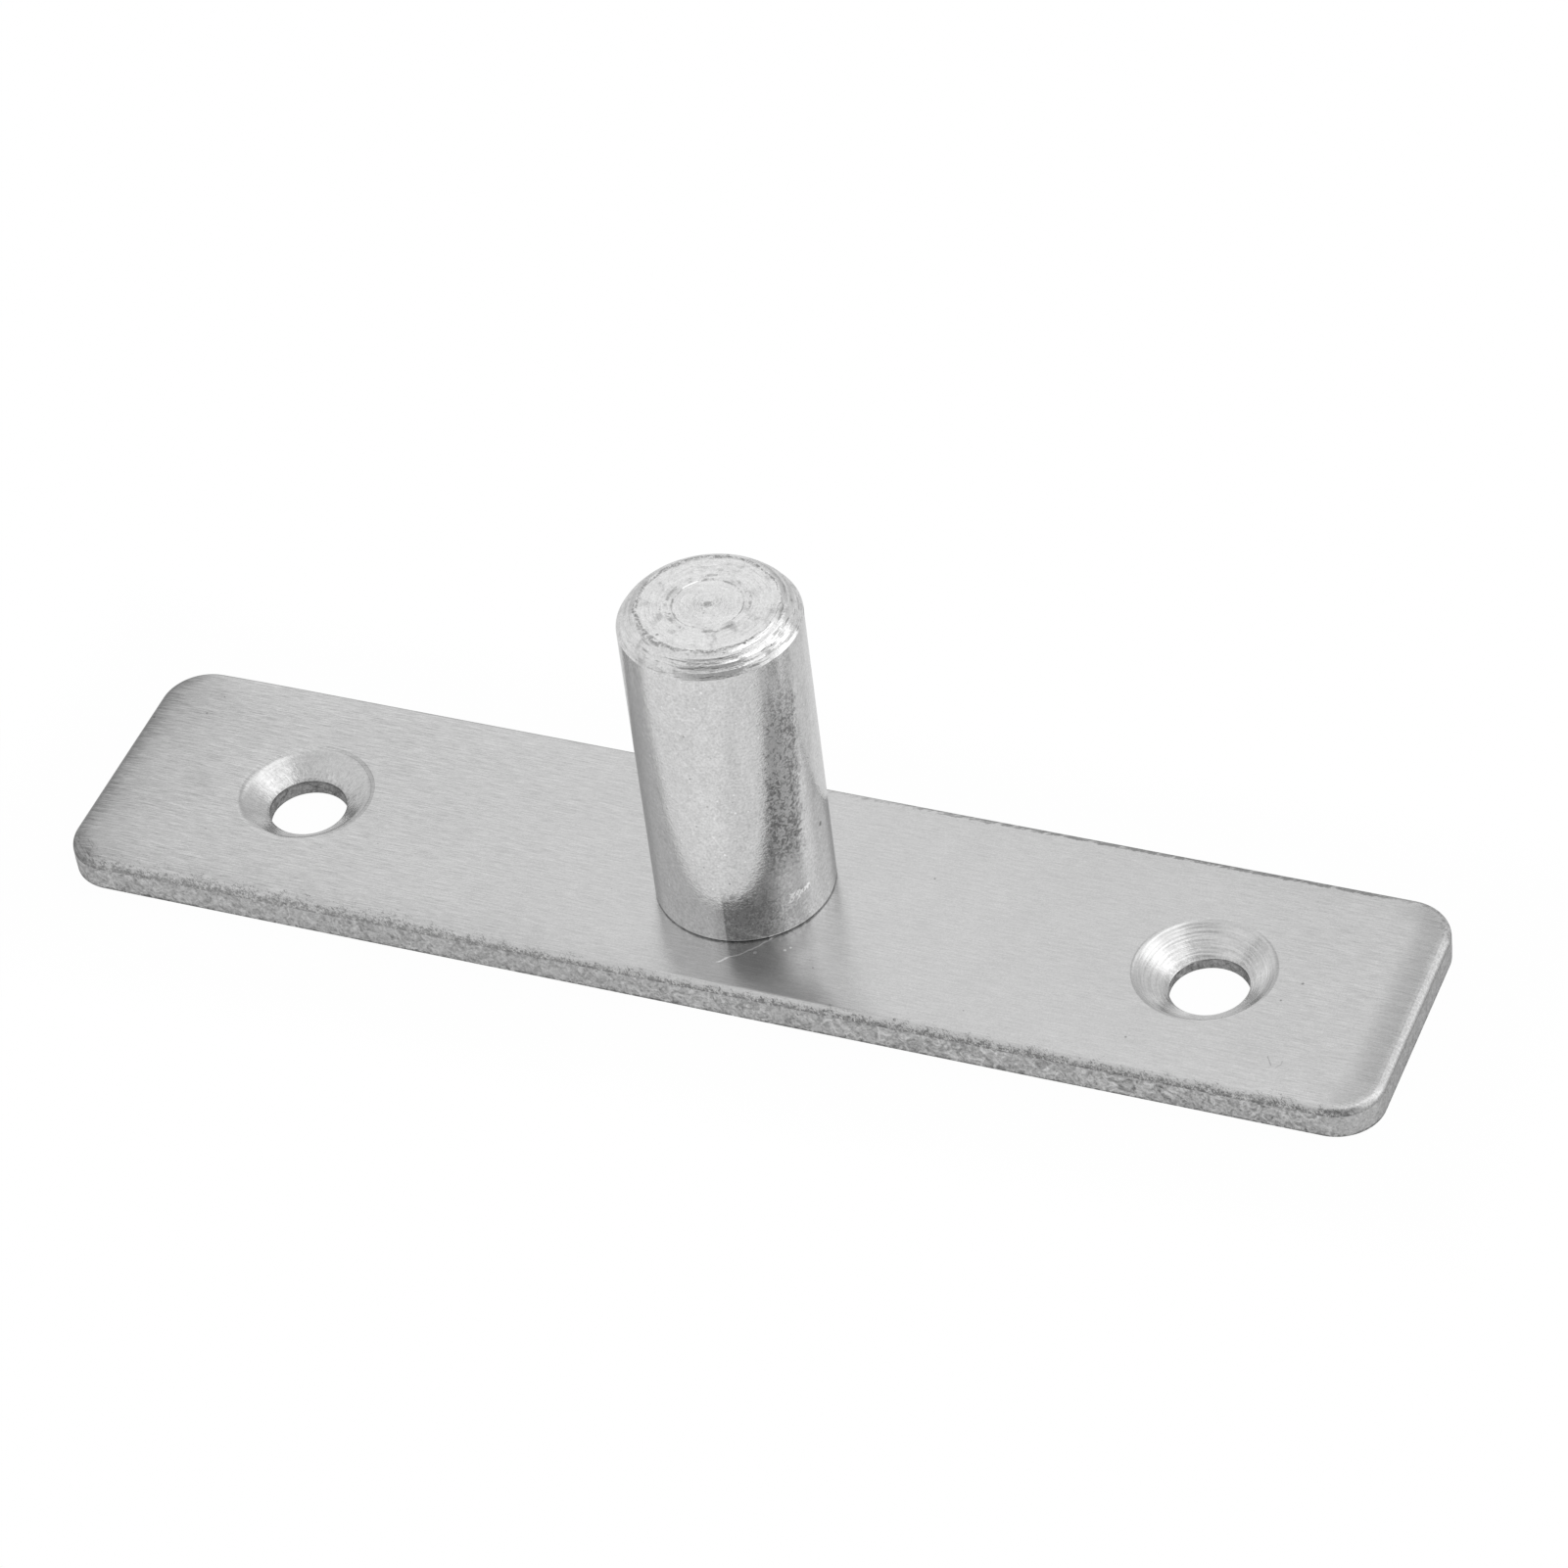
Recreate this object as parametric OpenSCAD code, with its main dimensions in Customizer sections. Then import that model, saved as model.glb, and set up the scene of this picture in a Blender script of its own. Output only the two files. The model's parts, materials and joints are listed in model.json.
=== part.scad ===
// Pivot hinge for a swinging glass or panel door: a blanked steel plate,
// screwed to the head or the floor, with a riveted pivot pin standing on it.
// Millimetres. The origin is on the pin's axis, in the plate's back face;
// X runs along the plate, Y across it and Z up along the pin.

/* [Plate] */
// Length of the plate
plate_l = 115; // [108:1:160]
// Width of the plate
plate_w = 25; // [20:0.5:40]
// Thickness of the sheet
plate_t = 3; // [2.5:0.1:6]
// Radius of the corners, seen from above
corner_r = 4; // [2:0.5:9]
// Radius that the blanking punch rolls over the top edge
roll_r = 0.7; // [0.2:0.1:1.2]

/* [Screw holes] */
// Distance between the two screw holes
hole_spacing = 80; // [50:1:90]
// Diameter of the screw holes
bore_d = 6.6; // [5:0.1:8]
// Diameter of the countersinks at the plate's face
csk_d = 12; // [10.5:0.1:13]
// Included angle of the countersinks
csk_angle = 105; // [95:1:120]
// Width of the softened lip round each countersink
lip_w = 0.3; // [0.1:0.05:0.5]
// Depth of that lip
lip_drop = 0.08; // [0.04:0.01:0.15]

/* [Pin] */
// Diameter of the pin
pin_d = 15; // [13:0.5:20]
// Height of the pin above the plate's face
pin_h = 30; // [15:1:60]
// Width of the crown, from the pin's wall in to its flat end
crown_w = 1.65; // [0.5:0.05:2.5]
// Height of the crown
crown_h = 1.55; // [0.5:0.05:2.5]
// How far the crown bulges out of a straight chamfer
crown_bulge = 0.18; // [0.05:0.01:0.25]
// Number of cones the crown is turned with
crown_cones = 4; // [2:1:8]
// Edge break round the foot of the pin
foot_break = 0.3; // [0.1:0.05:0.6]

/* [Turned end] */
// Diameter of the shallow recess left by the facing tool
facing_d = 5.9; // [3:0.1:7]
// Depth of the facing recess
facing_depth = 0.06; // [0.03:0.01:0.2]
// Diameter of the pip left at the centre
pip_d = 0.7; // [0.3:0.1:1.5]

/* [Rivet] */
// Diameter of the spigot that passes through the plate
spigot_d = 9; // [6:0.5:11]
// Depth, and sideways spread, of the head peened over at the back
head_spread = 1.2; // [0.5:0.1:1.8]
// How far the peened head lies inside the plate's back face
head_sink = 0.1; // [0.05:0.05:0.4]
// Play left between the spigot and its hole, on the radius
rivet_play = 0.02; // [0.01:0.01:0.1]

/* [Hidden] */
$fn = 128;

// How far the cutting shapes run past a face
cut_over = 1;

bore_r = bore_d / 2;
csk_r = csk_d / 2;
csk_depth = (csk_r - lip_w - bore_r) / tan(csk_angle / 2);
land_h = plate_t - lip_drop - csk_depth;

pin_r = pin_d / 2;
pin_top = plate_t + pin_h;
face_r = pin_r - crown_w;
crown_slant = sqrt(crown_w * crown_w + crown_h * crown_h);

spigot_r = spigot_d / 2;

// Point number i of the crown, from its top inner edge down to the wall
function crown_u(i) = i / crown_cones;
function crown_swell(i) = 4 * crown_bulge * crown_u(i) * (1 - crown_u(i)) / crown_slant;
function crown_point(i) = [
    face_r + crown_w * crown_u(i) + crown_h * crown_swell(i),
    pin_top - crown_h * crown_u(i) + crown_w * crown_swell(i)
];

// Section of the blank, of width w: square at the back, rolled over at the face
module blank_section(w) {
    side = w / 2 - roll_r;
    translate([-w / 2, 0]) square([w, plate_t - roll_r]);
    translate([-side, 0]) square([2 * side, plate_t]);
    for (s = [-1, 1])
        translate([s * side, plate_t - roll_r]) circle(r = roll_r);
}

// One round corner of the blank, with the same rolled edge
module blank_corner() {
    rotate_extrude() intersection() {
        blank_section(2 * corner_r);
        square([corner_r, plate_t]);
    }
}

module blank() {
    mid_x = plate_l / 2 - corner_r;
    mid_y = plate_w / 2 - corner_r;
    rotate([90, 0, 90])
        linear_extrude(height = 2 * mid_x, center = true) blank_section(plate_w);
    rotate([90, 0, 0])
        linear_extrude(height = 2 * mid_y, center = true) blank_section(plate_l);
    for (x = [-mid_x, mid_x], y = [-mid_y, mid_y])
        translate([x, y, 0]) blank_corner();
}

// Screw hole: bore, countersink and the softened lip round its mouth
module screw_hole() {
    translate([0, 0, -cut_over])
        cylinder(h = plate_t + 2 * cut_over, r = bore_r);
    translate([0, 0, land_h])
        cylinder(h = csk_depth, r1 = bore_r, r2 = csk_r - lip_w);
    translate([0, 0, plate_t - lip_drop])
        cylinder(h = 2 * lip_drop, r1 = csk_r - lip_w, r2 = csk_r + lip_w);
}

// Hole for the spigot, opened out at the back for the peened head
module rivet_hole() {
    hole_r = spigot_r + rivet_play;
    translate([0, 0, -cut_over])
        cylinder(h = plate_t + 2 * cut_over, r = hole_r);
    translate([0, 0, -cut_over])
        cylinder(h = head_spread + cut_over, r1 = hole_r + head_spread + cut_over, r2 = hole_r);
}

module mounting_plate() {
    color("silver") difference() {
        blank();
        for (x = [-hole_spacing / 2, hole_spacing / 2])
            translate([x, 0, 0]) screw_hole();
        rivet_hole();
    }
}

// The pin is turned in one piece, from its crown down to the spigot,
// whose end is peened into the back of the plate
module pivot_pin() {
    color("gainsboro") rotate_extrude() polygon(concat(
        [
            [0, head_sink],
            [spigot_r + head_spread - head_sink, head_sink],
            [spigot_r, head_spread],
            [spigot_r, plate_t],
            [pin_r - foot_break, plate_t],
            [pin_r, plate_t + foot_break]
        ],
        [for (i = [crown_cones:-1:0]) crown_point(i)],
        [
            [facing_d / 2, pin_top],
            [facing_d / 2 - facing_depth, pin_top - facing_depth],
            [pip_d / 2, pin_top - facing_depth],
            [0, pin_top]
        ]
    ));
}

mounting_plate();
pivot_pin();
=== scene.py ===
import json
from math import cos, pi, radians, sin, sqrt, tan

import bmesh
import bpy
from mathutils import Matrix, Vector


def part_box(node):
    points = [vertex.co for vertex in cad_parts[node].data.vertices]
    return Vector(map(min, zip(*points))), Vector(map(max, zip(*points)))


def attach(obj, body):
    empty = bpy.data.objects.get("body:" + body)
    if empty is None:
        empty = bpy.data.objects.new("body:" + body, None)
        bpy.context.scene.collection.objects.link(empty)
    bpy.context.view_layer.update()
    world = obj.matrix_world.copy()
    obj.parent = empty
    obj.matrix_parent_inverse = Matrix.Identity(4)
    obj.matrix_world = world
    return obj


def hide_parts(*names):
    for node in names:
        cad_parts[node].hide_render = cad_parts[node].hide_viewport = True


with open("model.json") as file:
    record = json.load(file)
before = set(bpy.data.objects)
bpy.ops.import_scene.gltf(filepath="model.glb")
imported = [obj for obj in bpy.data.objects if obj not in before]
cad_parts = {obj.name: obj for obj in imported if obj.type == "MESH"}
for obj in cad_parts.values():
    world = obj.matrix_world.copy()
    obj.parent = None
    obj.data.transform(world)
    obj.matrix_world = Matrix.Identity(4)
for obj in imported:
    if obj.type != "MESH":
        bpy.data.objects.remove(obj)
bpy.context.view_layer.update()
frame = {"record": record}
mm = 0.001
mounts = {mount["name"]: mount for mount in frame["record"]["mounts"]}
plateLow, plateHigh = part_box("mounting_plate")
pinLow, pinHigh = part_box("pivot_pin")
print("frame loaded")


# Selecting and shaping

def deselectAll():
    if bpy.context.object and bpy.context.object.mode != "OBJECT":
        bpy.ops.object.mode_set(mode="OBJECT")
    bpy.ops.object.select_all(action="DESELECT")


def makeActive(piece):
    deselectAll()
    bpy.context.view_layer.objects.active = piece
    piece.select_set(True)


def nameActive(name):
    piece = bpy.context.object
    piece.name = name
    piece.data.name = name
    return piece


def selectFaces(test):
    # in edit mode: selects the faces whose centre and normal pass the test
    bpy.ops.mesh.select_all(action="DESELECT")
    mesh = bpy.context.object.data
    shape = bmesh.from_edit_mesh(mesh)
    for face in shape.faces:
        face.select_set(test(face.calc_center_median(), face.normal))
    bmesh.update_edit_mesh(mesh)


def selectEdges(test):
    # in edit mode: selects the edges whose two ends pass the test
    bpy.ops.mesh.select_all(action="DESELECT")
    mesh = bpy.context.object.data
    shape = bmesh.from_edit_mesh(mesh)
    for edge in shape.edges:
        edge.select_set(test(edge.verts[0].co, edge.verts[1].co))
    bmesh.update_edit_mesh(mesh)


def applyModifiers(piece):
    makeActive(piece)
    for modifier in list(piece.modifiers):
        bpy.ops.object.modifier_apply(modifier=modifier.name)


def smoothPiece(piece, angle):
    # smooth shading that keeps flat faces flat and turned corners crisp
    makeActive(piece)
    bpy.ops.object.shade_smooth_by_angle(angle=radians(angle))
    weights = piece.modifiers.new("faceWeights", "WEIGHTED_NORMAL")
    weights.keep_sharp = True
    applyModifiers(piece)


def turned(name, profile, segments, x=0):
    # a turned shape, raised ring by ring through (radius, height), from the bottom up
    deselectAll()
    radius, height = profile[0]
    bpy.ops.mesh.primitive_circle_add(
        vertices=segments, radius=radius, fill_type="NGON", location=(0, 0, height))
    piece = nameActive(name)
    bpy.ops.object.transform_apply()
    bpy.ops.object.mode_set(mode="EDIT")
    bpy.ops.mesh.select_mode(type="FACE")
    bpy.ops.mesh.select_all(action="SELECT")
    for nextRadius, nextHeight in profile[1:]:
        bpy.ops.mesh.extrude_region_move(
            TRANSFORM_OT_translate={"value": (0, 0, nextHeight - height)})
        if nextRadius == 0:
            bpy.ops.mesh.merge(type="CENTER")
        elif nextRadius != radius:
            grow = nextRadius / radius
            bpy.ops.transform.resize(value=(grow, grow, 1), center_override=(0, 0, nextHeight))
            radius = nextRadius
        height = nextHeight
    bpy.ops.mesh.select_all(action="SELECT")
    bpy.ops.mesh.normals_make_consistent(inside=False)
    bpy.ops.transform.translate(value=(x, 0, 0))
    bpy.ops.object.mode_set(mode="OBJECT")
    return piece


def cutAway(piece, cutter):
    cut = piece.modifiers.new("cut", "BOOLEAN")
    cut.operation = "DIFFERENCE"
    cut.solver = "EXACT"
    cut.object = cutter
    applyModifiers(piece)
    bpy.data.objects.remove(cutter)


# The plate

plate = {
    "length": plateHigh[0] - plateLow[0],
    "width": plateHigh[1] - plateLow[1],
    "thickness": plateHigh[2],
    "cornerRadius": 4 * mm,
    "cornerSteps": 28,
    "roll": 0.7 * mm,            # radius that the punch rolls over the top edge
    "rollSteps": 10,
    "sag": 0.095 * mm,           # how far the face sinks before the roll begins
    "sagWidth": 3.0 * mm,
    "sagSteps": 8,
    "droop": 0.18 * mm,          # how much thinner the punch left the left end
    "droopWidth": 10.4 * mm,
    "droopSteps": 11,
    "tear": 0.9 * mm,            # height of the torn zone at the foot of the sheared wall
    "tearInset": 0.04 * mm,
}

hole = {
    "spacing": mounts["screw_holes"]["dims"]["spacing_x_mm"] * mm,
    "bore": mounts["screw_holes"]["dims"]["hole_r_mm"] * mm,
    "mouth": (5.45 * mm, 5.8 * mm),            # left, right: where the cone would meet the face
    "drift": (0, -0.28 * mm),    # how far the tool cut the cones off the bores' centres
    "angle": 105,
    "rounding": (1.5 * mm, 0.8 * mm),          # worn edge at the mouths
    "ringDepth": (0.002 * mm, 0.012 * mm),     # turning marks in the cones
    "rings": 11,
    "segments": 180,
    "coneSegments": 164,         # not the bore's number, so that their edges never coincide
}

pin = {
    "radius": mounts["pivot_pin"]["dims"]["r_mm"] * mm,
    "top": pinHigh[2],
    "crownWidth": 1.65 * mm,
    "crownHeight": 1.55 * mm,
    "crownBulge": 0.18 * mm,
    "crownCones": 4,
    "ridge": 0.045 * mm,         # how far the ridges between the cones stand out
    "footBreak": 0.3 * mm,
    "facing": 2.95 * mm,
    "facingDepth": 0.06 * mm,
    "pip": 0.35 * mm,
    "spigot": 4.5 * mm,
    "headSpread": 1.2 * mm,
    "headSink": 0.1 * mm,
    "play": 0.02 * mm,
    "segments": 192,
}


def rollSteps():
    # (inwards, upwards) steps from the top of the wall, over the roll, up to the level face
    points = [(0, 0)]
    for i in range(1, plate["rollSteps"] + 1):
        turn = pi / 2 * i / plate["rollSteps"]
        points.append((plate["roll"] * (1 - cos(turn)), plate["roll"] * sin(turn)))
    for i in range(1, plate["sagSteps"] + 1):
        share = i / plate["sagSteps"]
        rise = plate["sag"] * (1 - (1 - share) ** 2)
        points.append((plate["roll"] + plate["sagWidth"] * share, plate["roll"] + rise))
    return [(b[0] - a[0], b[1] - a[1]) for a, b in zip(points, points[1:])]


def blankPlate():
    wallHeight = plate["thickness"] - plate["roll"] - plate["sag"] - plate["tear"]
    deselectAll()
    bpy.ops.mesh.primitive_cube_add(size=1, location=(0, 0, plate["tear"] + wallHeight / 2))
    piece = nameActive("blankedPlate")
    piece.scale = (plate["length"], plate["width"], wallHeight)
    bpy.ops.object.transform_apply()
    bpy.ops.object.mode_set(mode="EDIT")
    bpy.ops.mesh.select_mode(type="EDGE")
    selectEdges(lambda a, b: abs(a.z - b.z) > wallHeight / 2)
    bpy.ops.mesh.bevel(offset=plate["cornerRadius"], segments=plate["cornerSteps"], profile=0.5)
    bpy.ops.mesh.select_mode(type="FACE")
    selectFaces(lambda centre, normal: normal.z > 0.9)
    for inwards, up in rollSteps():
        bpy.ops.mesh.inset(thickness=inwards, depth=up, use_even_offset=True)
    selectFaces(lambda centre, normal: normal.z < -0.9)
    bpy.ops.mesh.inset(thickness=plate["tearInset"], depth=plate["tear"], use_even_offset=True)
    bpy.ops.object.mode_set(mode="OBJECT")
    return piece


def countersinkProfile(mouth, rounding, ringDepth):
    # ringed cone and rounded edge, from inside the bore to just above the plate's face
    top = plate["thickness"]
    slope = radians(90 - hole["angle"] / 2)
    tangent = rounding * tan(slope / 2)
    rim = mouth - tangent * cos(slope)
    coneTop = top - tangent * sin(slope)
    first = hole["bore"] - 0.6 * mm
    profile = []
    steps = hole["rings"] * 4
    for i in range(steps + 1):
        share = i / steps
        ripple = ringDepth * sin(pi * hole["rings"] * share) ** 2
        radius = first + (rim - first) * share
        profile.append((radius + ripple, coneTop - (rim - radius) * tan(slope)))
    for i in range(1, 9):
        turn = slope * (1 - i / 9)
        radius = mouth + tangent - rounding * sin(turn)
        profile.append((radius, top - rounding * (1 - cos(turn))))
    lastRadius, lastHeight = profile[-1]
    profile.append((lastRadius + (top - lastHeight) * 8, top))
    profile.append((lastRadius + 0.4 * mm, top + 0.2 * mm))
    return profile


def thinLeftEnd(piece):
    # the face is cut across in narrow steps, then sinks towards the end along a smooth curve
    makeActive(piece)
    bpy.ops.object.mode_set(mode="EDIT")
    for i in range(plate["droopSteps"]):
        cutX = -plate["length"] / 2 + plate["droopWidth"] * (1 - i / plate["droopSteps"])
        bpy.ops.mesh.select_all(action="SELECT")
        bpy.ops.mesh.bisect(plane_co=(cutX, 0, 0), plane_no=(1, 0, 0))
    bpy.ops.object.mode_set(mode="OBJECT")
    sinking = piece.vertex_groups.new(name="sinking")
    start = plate["droopWidth"] - plate["length"] / 2
    for corner in piece.data.vertices:
        share = (start - corner.co.x) / plate["droopWidth"]
        if share > 0 and corner.co.z > plate["tear"] + 0.1 * mm:
            sinking.add([corner.index], share ** 2, "REPLACE")
    sink = piece.modifiers.new("sink", "DISPLACE")
    sink.direction = "Z"
    sink.mid_level = 0
    sink.strength = -plate["droop"]
    sink.vertex_group = sinking.name
    applyModifiers(piece)
    piece.vertex_groups.clear()


def makePlate():
    piece = blankPlate()
    thinLeftEnd(piece)
    centres = (-hole["spacing"] / 2, hole["spacing"] / 2)
    past = 1 * mm                # the cutters run this far past the plate
    bore = ((hole["bore"], -past), (hole["bore"], plate["thickness"] + past))
    for centreX in centres:
        cutAway(piece, turned("bore", bore, hole["segments"], centreX))
    seat = pin["spigot"] + pin["play"]
    rivetHole = (
        (seat + pin["headSpread"] + past, -past),
        (seat, pin["headSpread"]),
        (seat, plate["thickness"] + past),
    )
    cutAway(piece, turned("rivetHole", rivetHole, pin["segments"]))
    for i in (0, 1):
        cone = countersinkProfile(hole["mouth"][i], hole["rounding"][i], hole["ringDepth"][i])
        centreX = centres[i] + hole["drift"][i]
        cutAway(piece, turned("cone", cone, hole["coneSegments"], centreX))
    smoothPiece(piece, 28)
    return piece


# The pin

def crownPoint(share):
    # a point of the crown, from its lower edge (0) to the flat end (1)
    slant = sqrt(pin["crownWidth"] ** 2 + pin["crownHeight"] ** 2)
    hollow = pin["ridge"] * abs(sin(pi * pin["crownCones"] * share))
    swell = (4 * pin["crownBulge"] * share * (1 - share) - hollow) / slant
    radius = pin["radius"] - pin["crownWidth"] * share + pin["crownHeight"] * swell
    height = pin["top"] - pin["crownHeight"] * (1 - share) + pin["crownWidth"] * swell
    return radius, height


def pinProfile():
    foot = plate["thickness"]
    profile = [
        (pin["spigot"] + pin["headSpread"] - pin["headSink"], pin["headSink"]),
        (pin["spigot"], pin["headSpread"]),
        (pin["spigot"], foot),
        (pin["radius"] - pin["footBreak"], foot),
    ]
    for turn in (30, 60, 90):
        across, up = sin(radians(turn)), 1 - cos(radians(turn))
        profile.append((
            pin["radius"] - pin["footBreak"] * (1 - across), foot + pin["footBreak"] * up))
    steps = pin["crownCones"] * 6
    profile += [crownPoint(i / steps) for i in range(steps + 1)]
    floor = pin["top"] - pin["facingDepth"]
    profile += [
        (pin["facing"], pin["top"]),
        (pin["facing"] - pin["facingDepth"] * 1.5, floor),
        (pin["pip"], floor),
        (pin["pip"] * 0.4, pin["top"] - pin["facingDepth"] * 0.2),
        (0, pin["top"]),
    ]
    return profile


def makePin():
    piece = turned("turnedPin", pinProfile(), pin["segments"])
    smoothPiece(piece, 22)
    return piece


platePiece = makePlate()
print("plate made:", len(platePiece.data.polygons), "faces")
pinPiece = makePin()
print("pin made:", len(pinPiece.data.polygons), "faces")

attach(platePiece, "root")
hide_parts("mounting_plate")
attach(pinPiece, "root")
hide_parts("pivot_pin")


# Node helpers: an input takes a value or another node's output

def put(tree, kind, inputs=None, **settings):
    node = tree.nodes.new(kind)
    for name, value in settings.items():
        setattr(node, name, value)
    for name, value in (inputs or {}).items():
        if isinstance(value, bpy.types.NodeSocket):
            tree.links.new(value, node.inputs[name])
        else:
            node.inputs[name].default_value = value
    return node


def calc(tree, operation, a, b=0.0, c=0.0):
    inputs = {0: a, 1: b} if c == 0.0 else {0: a, 1: b, 2: c}
    return put(tree, "ShaderNodeMath", inputs, operation=operation).outputs[0]


def times(tree, a, b):
    return calc(tree, "MULTIPLY", a, b)


def plus(tree, a, b):
    return calc(tree, "ADD", a, b)


def minus(tree, a, b):
    return calc(tree, "SUBTRACT", a, b)


def gap(tree, a, b):
    # how far apart the two values are
    return calc(tree, "ABSOLUTE", minus(tree, a, b))


def scaled(tree, value, factor, added):
    # value * factor + added
    return calc(tree, "MULTIPLY_ADD", value, factor, added)


def ramp(tree, value, low, high, first=0.0, last=1.0, shape="SMOOTHSTEP"):
    # first below low, last above high, and a soft rise between
    node = put(tree, "ShaderNodeMapRange", {
        "Value": value, "From Min": low, "From Max": high, "To Min": first, "To Max": last,
    }, interpolation_type=shape)
    return node.outputs["Result"]


def blend(tree, share, a, b):
    node = put(tree, "ShaderNodeMix", {0: share, 2: a, 3: b}, data_type="FLOAT")
    return node.outputs[0]


def split(tree, vector):
    node = put(tree, "ShaderNodeSeparateXYZ", {"Vector": vector})
    return node.outputs["X"], node.outputs["Y"], node.outputs["Z"]


def join(tree, x=0.0, y=0.0, z=0.0):
    return put(tree, "ShaderNodeCombineXYZ", {"X": x, "Y": y, "Z": z}).outputs["Vector"]


def lengthOf(tree, x, y):
    # from the Z axis to the place x, y
    flat = join(tree, x, y)
    return put(tree, "ShaderNodeVectorMath", {0: flat}, operation="LENGTH").outputs["Value"]


def wayOf(tree, x, y):
    # the same direction with a length of 1
    flat = join(tree, x, y)
    way = put(tree, "ShaderNodeVectorMath", {0: flat}, operation="NORMALIZE").outputs[0]
    return split(tree, way)[:2]


def noise(tree, vector, scale=1.0, detail=2.0, roughness=0.5, distortion=0.0, flat=False):
    node = put(tree, "ShaderNodeTexNoise", {
        "Vector": vector, "Scale": scale, "Detail": detail, "Roughness": roughness,
        "Distortion": distortion,
    }, noise_dimensions="2D" if flat else "3D")
    return node.outputs["Fac"]


def useGroup(tree, group, **inputs):
    node = tree.nodes.new("ShaderNodeGroup")
    node.node_tree = group
    for name, value in inputs.items():
        label = name[0].upper() + name[1:]
        if isinstance(value, bpy.types.NodeSocket):
            tree.links.new(value, node.inputs[label])
        else:
            node.inputs[label].default_value = value
    return node.outputs[0]


def newGroup(name, output, **inputs):
    # a vector input is written as None, a number input as its usual value
    tree = bpy.data.node_groups.new(name, "ShaderNodeTree")
    for label, value in inputs.items():
        kind = "NodeSocketVector" if value is None else "NodeSocketFloat"
        title = label[0].upper() + label[1:]
        socket = tree.interface.new_socket(title, in_out="INPUT", socket_type=kind)
        if value is not None:
            socket.default_value = value
    kind = "NodeSocketVector" if output == "Position" else "NodeSocketFloat"
    tree.interface.new_socket(output, in_out="OUTPUT", socket_type=kind)
    start = tree.nodes.new("NodeGroupInput")
    sockets = {label: start.outputs[label[0].upper() + label[1:]] for label in inputs}
    return tree, sockets


def finishGroup(tree, value):
    end = tree.nodes.new("NodeGroupOutput")
    tree.links.new(value, end.inputs[0])
    return tree


# Effects that several finishes share; all lengths inside them are millimetres

def millimetresGroup():
    tree, _ = newGroup("millimetres", "Position")
    place = put(tree, "ShaderNodeTexCoord").outputs["Object"]
    scaled = put(tree, "ShaderNodeVectorMath", {0: place, "Scale": 1000}, operation="SCALE")
    return finishGroup(tree, scaled.outputs[0])


def grainGroup():
    # short, nearly straight streaks along X in the XY plane, from about -1 to 1; they are
    # strongest at the left end and weakest right of the pin
    tree, sockets = newGroup("grain", "Value", position=None, length=3.0, thickness=0.1, slant=1.2)
    angle = calc(tree, "RADIANS", sockets["slant"])
    total = None
    for sign, lengthShare, weight, offset in ((1, 1.0, 4.0, 0), (-1, 0.4, 3.4, 40)):
        turn = put(tree, "ShaderNodeVectorRotate", {
            "Vector": sockets["position"], "Angle": times(tree, angle, sign),
        }, rotation_type="Z_AXIS")
        x, y, _ = split(tree, turn.outputs[0])
        wave = noise(tree, join(tree, times(tree, x, 0.2), y), 0.5, 0, flat=True)
        y = plus(tree, y, times(tree, wave, 0.22))
        longX = calc(tree, "DIVIDE", x, times(tree, sockets["length"], lengthShare))
        thinY = calc(tree, "DIVIDE", y, sockets["thickness"])
        place = join(tree, plus(tree, longX, offset), thinY)
        streak = noise(tree, place, 1, 2, 0.7, flat=True)
        streak = scaled(tree, streak, weight, -weight / 2)
        total = streak if total is None else plus(tree, total, streak)
    x, y, _ = split(tree, sockets["position"])
    strength = plus(tree, ramp(tree, x, -56, 10, 0.62, 0.24), ramp(tree, x, 34, 54, 0, 0.18))
    strength = times(tree, strength, ramp(tree, y, -12, 10, 0.95, 1.0))
    return finishGroup(tree, times(tree, total, strength))


def mottleGroup():
    # cloudy patches, from about -1 to 1
    tree, sockets = newGroup(
        "mottle", "Value", position=None, size=1.0, distortion=0.6, detail=3.0)
    scale = calc(tree, "DIVIDE", 1.0, sockets["size"])
    cloud = noise(
        tree, sockets["position"], scale, sockets["detail"], 0.62, sockets["distortion"])
    return finishGroup(tree, scaled(tree, cloud, 5.0, -2.5))


def pitsGroup():
    # small scattered spots: 1 in a spot, 0 outside
    tree, sockets = newGroup("pits", "Mask", position=None, spacing=1.0, size=0.08, share=0.3)
    cell = put(tree, "ShaderNodeTexVoronoi", {
        "Vector": sockets["position"], "Scale": calc(tree, "DIVIDE", 1.0, sockets["spacing"]),
    })
    distance = times(tree, cell.outputs["Distance"], sockets["spacing"])
    red, green, _ = split(tree, cell.outputs["Color"])
    chosen = calc(tree, "LESS_THAN", red, sockets["share"])
    radius = times(tree, sockets["size"], scaled(tree, green, 0.8, 0.5))
    spot = ramp(tree, calc(tree, "DIVIDE", distance, radius), 0.5, 1.2, 1, 0)
    return finishGroup(tree, times(tree, spot, chosen))


def ringsGroup():
    # turning marks round the Z axis, from about -1 to 1
    tree, sockets = newGroup("turningMarks", "Value", position=None, pitch=0.15, sweep=2.0)
    x, y, _ = split(tree, sockets["position"])
    turnX, turnY = wayOf(tree, x, y)
    rings = noise(tree, join(
        tree, calc(tree, "DIVIDE", lengthOf(tree, x, y), sockets["pitch"]),
        times(tree, turnX, sockets["sweep"]),
        times(tree, turnY, sockets["sweep"])), 1, 2, 0.6)
    return finishGroup(tree, scaled(tree, rings, 5.0, -2.5))


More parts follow.
